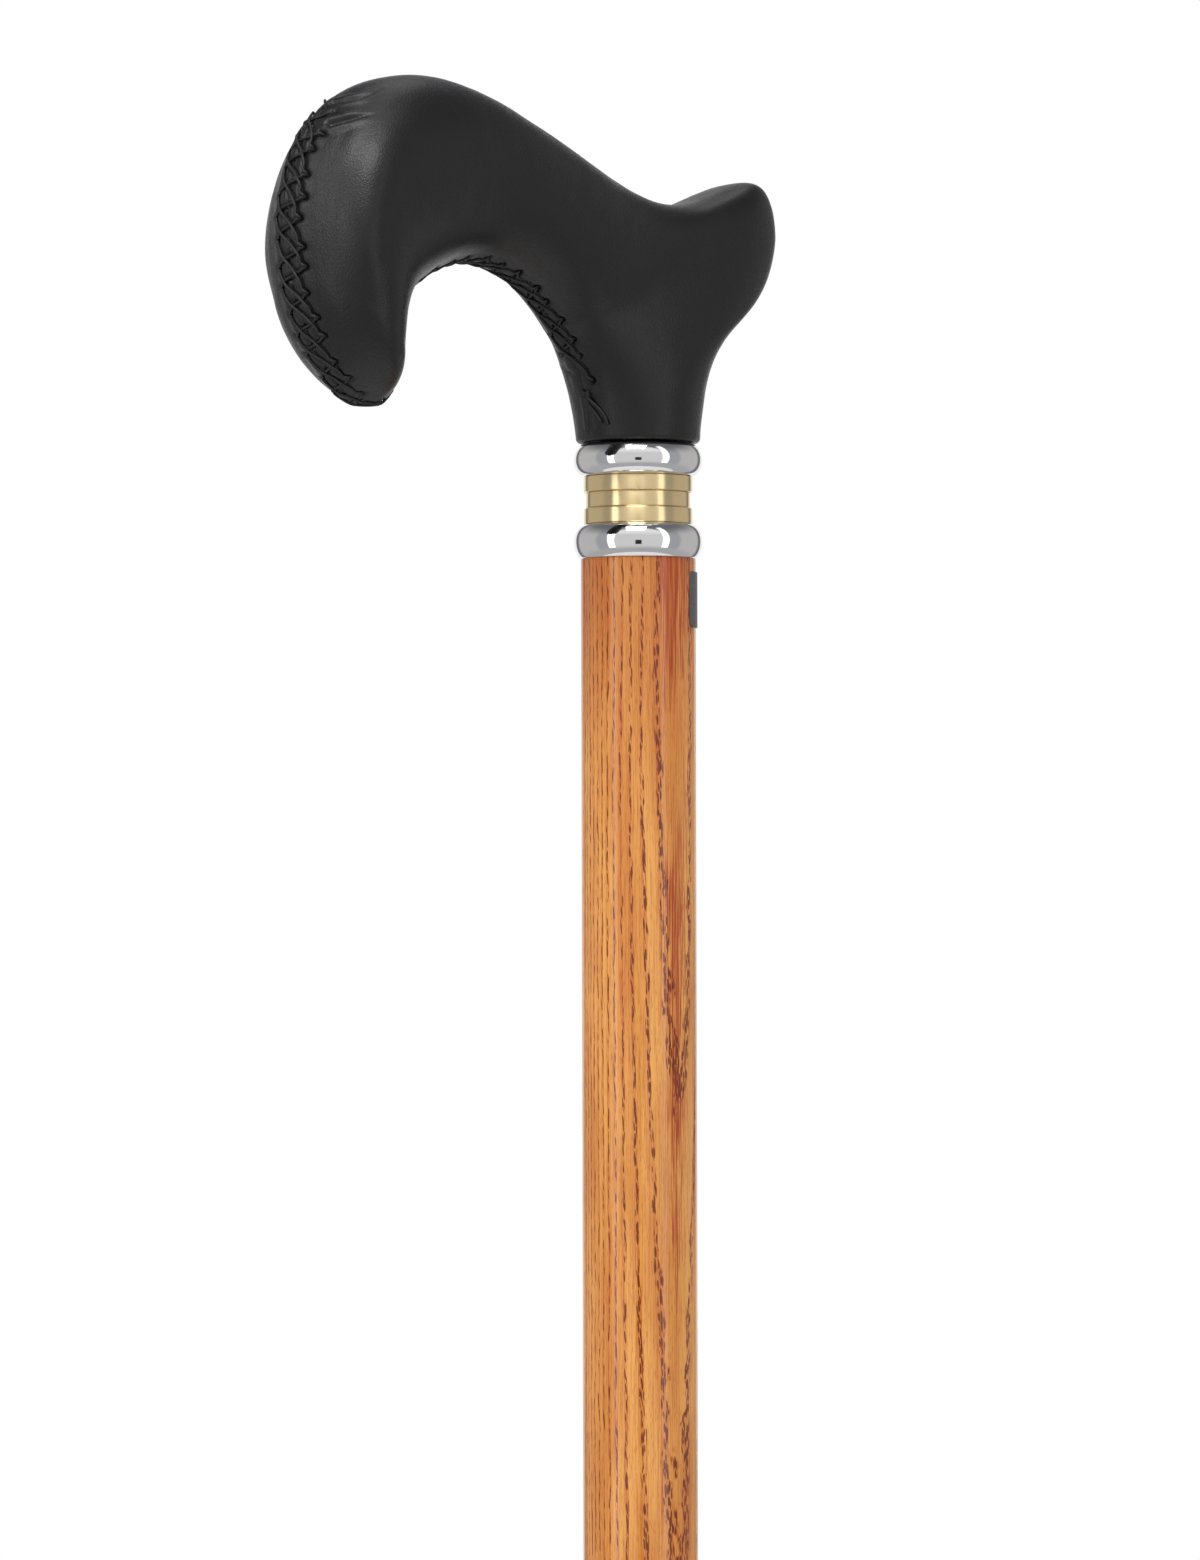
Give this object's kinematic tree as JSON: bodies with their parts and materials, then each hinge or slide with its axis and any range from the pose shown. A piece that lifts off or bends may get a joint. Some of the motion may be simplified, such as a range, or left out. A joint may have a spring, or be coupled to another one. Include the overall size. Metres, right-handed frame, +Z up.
{
  "type": "derby cane",
  "caption": "Walking cane with a leather-covered derby handle, a two-tone metal collar, a tapered ash shaft and a pull-off rubber ferrule.",
  "frame": {"origin": "middle of the ferrule's sole, on the floor", "axes": "+Z up along the shaft, -X towards the handle's nose, the handle lies in the XZ plane"},
  "size_m": [0.1166, 0.038, 0.9141],
  "materials": {
    "rubber": "matt black moulded rubber",
    "steel": "zinc-plated steel",
    "ash": "stained ash under clear lacquer, orange tan with dark pores",
    "label": "dark grey, bare",
    "chrome": "polished chrome plate",
    "brass": "turned satin brass",
    "beech": "raw beech",
    "leather": "black fine-grained leather, semi-gloss",
    "thread": "black waxed thread"
  },
  "bodies": {
    "cane": {"shaft": "ash", "shaft_label": "label", "lower_chrome_ring": "chrome", "brass_ring_lower": "brass", "brass_ring_middle": "brass", "brass_ring_upper": "brass", "upper_chrome_ring": "chrome", "dowel_screw": "steel", "handle_core": "beech", "leather_cover": "leather", "seam_thread": "thread"},
    "foot": {"ferrule": "rubber", "ferrule_washer": "steel"}
  },
  "joints": [
    {"name": "ferrule_pull", "type": "slide", "parent": "cane", "child": "foot", "axis": [0, 0, -1], "range_m": [0, 0.028]}
  ]
}
